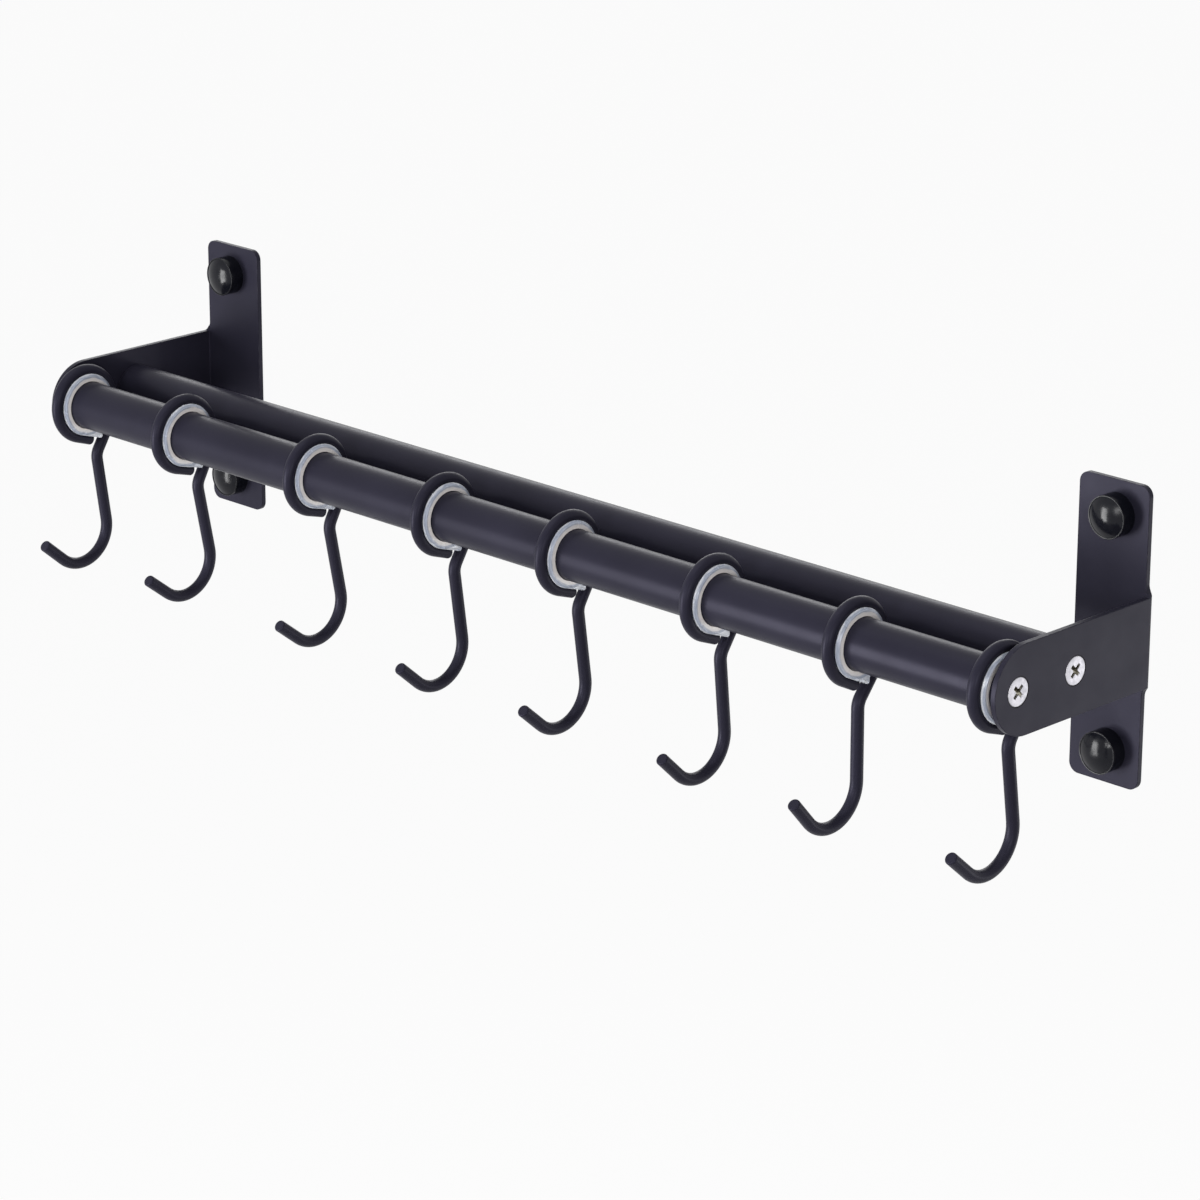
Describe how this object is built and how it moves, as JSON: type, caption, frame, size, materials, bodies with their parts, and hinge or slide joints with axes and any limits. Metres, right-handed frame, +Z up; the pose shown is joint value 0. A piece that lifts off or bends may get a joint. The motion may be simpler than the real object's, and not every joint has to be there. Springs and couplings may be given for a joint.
{
  "type": "kitchen utensil rail",
  "caption": "Wall-mounted black utensil rail: folded end brackets, a front and a rear rod, and bent wire hooks that slide and swing on clear liners.",
  "frame": {"origin": "centre of the four wall holes, in the wall plane, level with the axes of the rods", "axes": "+X along the rods, +Y into the wall, +Z up"},
  "size_m": [0.444, 0.0933, 0.1117],
  "materials": {
    "bracket_coat": "satin black powder coat on sheet steel",
    "rod_coat": "satin black powder coat on steel tube",
    "hook_coat": "satin black coat on steel wire",
    "zinc_screw": "bright zinc-plated steel",
    "plug_steel": "plain turned steel",
    "clear_plastic": "clear, slightly milky soft plastic",
    "cap_plastic": "glossy black moulded plastic",
    "base_plastic": "plain black moulded plastic"
  },
  "bodies": {
    "frame": {"left_bracket": "bracket_coat", "right_bracket": "bracket_coat", "front_rod": "rod_coat", "rear_rod": "rod_coat", "left_front_plug": "plug_steel", "left_front_screw": "zinc_screw", "left_rear_plug": "plug_steel", "left_rear_screw": "zinc_screw", "left_top_cap_base": "base_plastic", "left_top_cap": "cap_plastic", "left_bottom_cap_base": "base_plastic", "left_bottom_cap": "cap_plastic", "right_front_plug": "plug_steel", "right_front_screw": "zinc_screw", "right_rear_plug": "plug_steel", "right_rear_screw": "zinc_screw", "right_top_cap_base": "base_plastic", "right_top_cap": "cap_plastic", "right_bottom_cap_base": "base_plastic", "right_bottom_cap": "cap_plastic"},
    "slider_1": {"liner_1": "clear_plastic"},
    "hook_1": {"hook_1": "hook_coat"},
    "slider_2": {"liner_2": "clear_plastic"},
    "hook_2": {"hook_2": "hook_coat"},
    "slider_3": {"liner_3": "clear_plastic"},
    "hook_3": {"hook_3": "hook_coat"},
    "slider_4": {"liner_4": "clear_plastic"},
    "hook_4": {"hook_4": "hook_coat"},
    "slider_5": {"liner_5": "clear_plastic"},
    "hook_5": {"hook_5": "hook_coat"},
    "slider_6": {"liner_6": "clear_plastic"},
    "hook_6": {"hook_6": "hook_coat"},
    "slider_7": {"liner_7": "clear_plastic"},
    "hook_7": {"hook_7": "hook_coat"},
    "slider_8": {"liner_8": "clear_plastic"},
    "hook_8": {"hook_8": "hook_coat"}
  },
  "joints": [
    {"name": "hook_1_slide", "type": "slide", "parent": "frame", "child": "slider_1", "axis": [1, 0, 0], "range_m": [0, 0.02424]},
    {"name": "hook_1_swing", "type": "hinge", "parent": "slider_1", "child": "hook_1", "pos_m": [-0.2168, -0.0649, 0], "axis": [-1, 0, 0], "range_deg": [-51, 256]},
    {"name": "hook_2_slide", "type": "slide", "parent": "frame", "child": "slider_2", "axis": [1, 0, 0], "range_m": [-0.02424, 0.03161]},
    {"name": "hook_2_swing", "type": "hinge", "parent": "slider_2", "child": "hook_2", "pos_m": [-0.16152, -0.0649, 0], "axis": [-1, 0, 0], "range_deg": [-48, 259]},
    {"name": "hook_3_slide", "type": "slide", "parent": "frame", "child": "slider_3", "axis": [1, 0, 0], "range_m": [-0.03161, 0.02858]},
    {"name": "hook_3_swing", "type": "hinge", "parent": "slider_3", "child": "hook_3", "pos_m": [-0.09149, -0.0649, 0], "axis": [-1, 0, 0], "range_deg": [-48, 259]},
    {"name": "hook_4_slide", "type": "slide", "parent": "frame", "child": "slider_4", "axis": [1, 0, 0], "range_m": [-0.02858, 0.02609]},
    {"name": "hook_4_swing", "type": "hinge", "parent": "slider_4", "child": "hook_4", "pos_m": [-0.02753, -0.0649, 0], "axis": [-1, 0, 0], "range_deg": [-51, 256]},
    {"name": "hook_5_slide", "type": "slide", "parent": "frame", "child": "slider_5", "axis": [1, 0, 0], "range_m": [-0.02609, 0.02912]},
    {"name": "hook_5_swing", "type": "hinge", "parent": "slider_5", "child": "hook_5", "pos_m": [0.03144, -0.0649, 0], "axis": [-1, 0, 0], "range_deg": [-51, 256]},
    {"name": "hook_6_slide", "type": "slide", "parent": "frame", "child": "slider_6", "axis": [1, 0, 0], "range_m": [-0.02912, 0.02673]},
    {"name": "hook_6_swing", "type": "hinge", "parent": "slider_6", "child": "hook_6", "pos_m": [0.09648, -0.0649, 0], "axis": [-1, 0, 0], "range_deg": [-53.5, 253.5]},
    {"name": "hook_7_slide", "type": "slide", "parent": "frame", "child": "slider_7", "axis": [1, 0, 0], "range_m": [-0.02673, 0.02565]},
    {"name": "hook_7_swing", "type": "hinge", "parent": "slider_7", "child": "hook_7", "pos_m": [0.15675, -0.0649, 0], "axis": [-1, 0, 0], "range_deg": [-58.5, 248.5]},
    {"name": "hook_8_slide", "type": "slide", "parent": "frame", "child": "slider_8", "axis": [1, 0, 0], "range_m": [-0.02565, 0.00195]},
    {"name": "hook_8_swing", "type": "hinge", "parent": "slider_8", "child": "hook_8", "pos_m": [0.21485, -0.0649, 0], "axis": [-1, 0, 0], "range_deg": [-51, 256]}
  ]
}
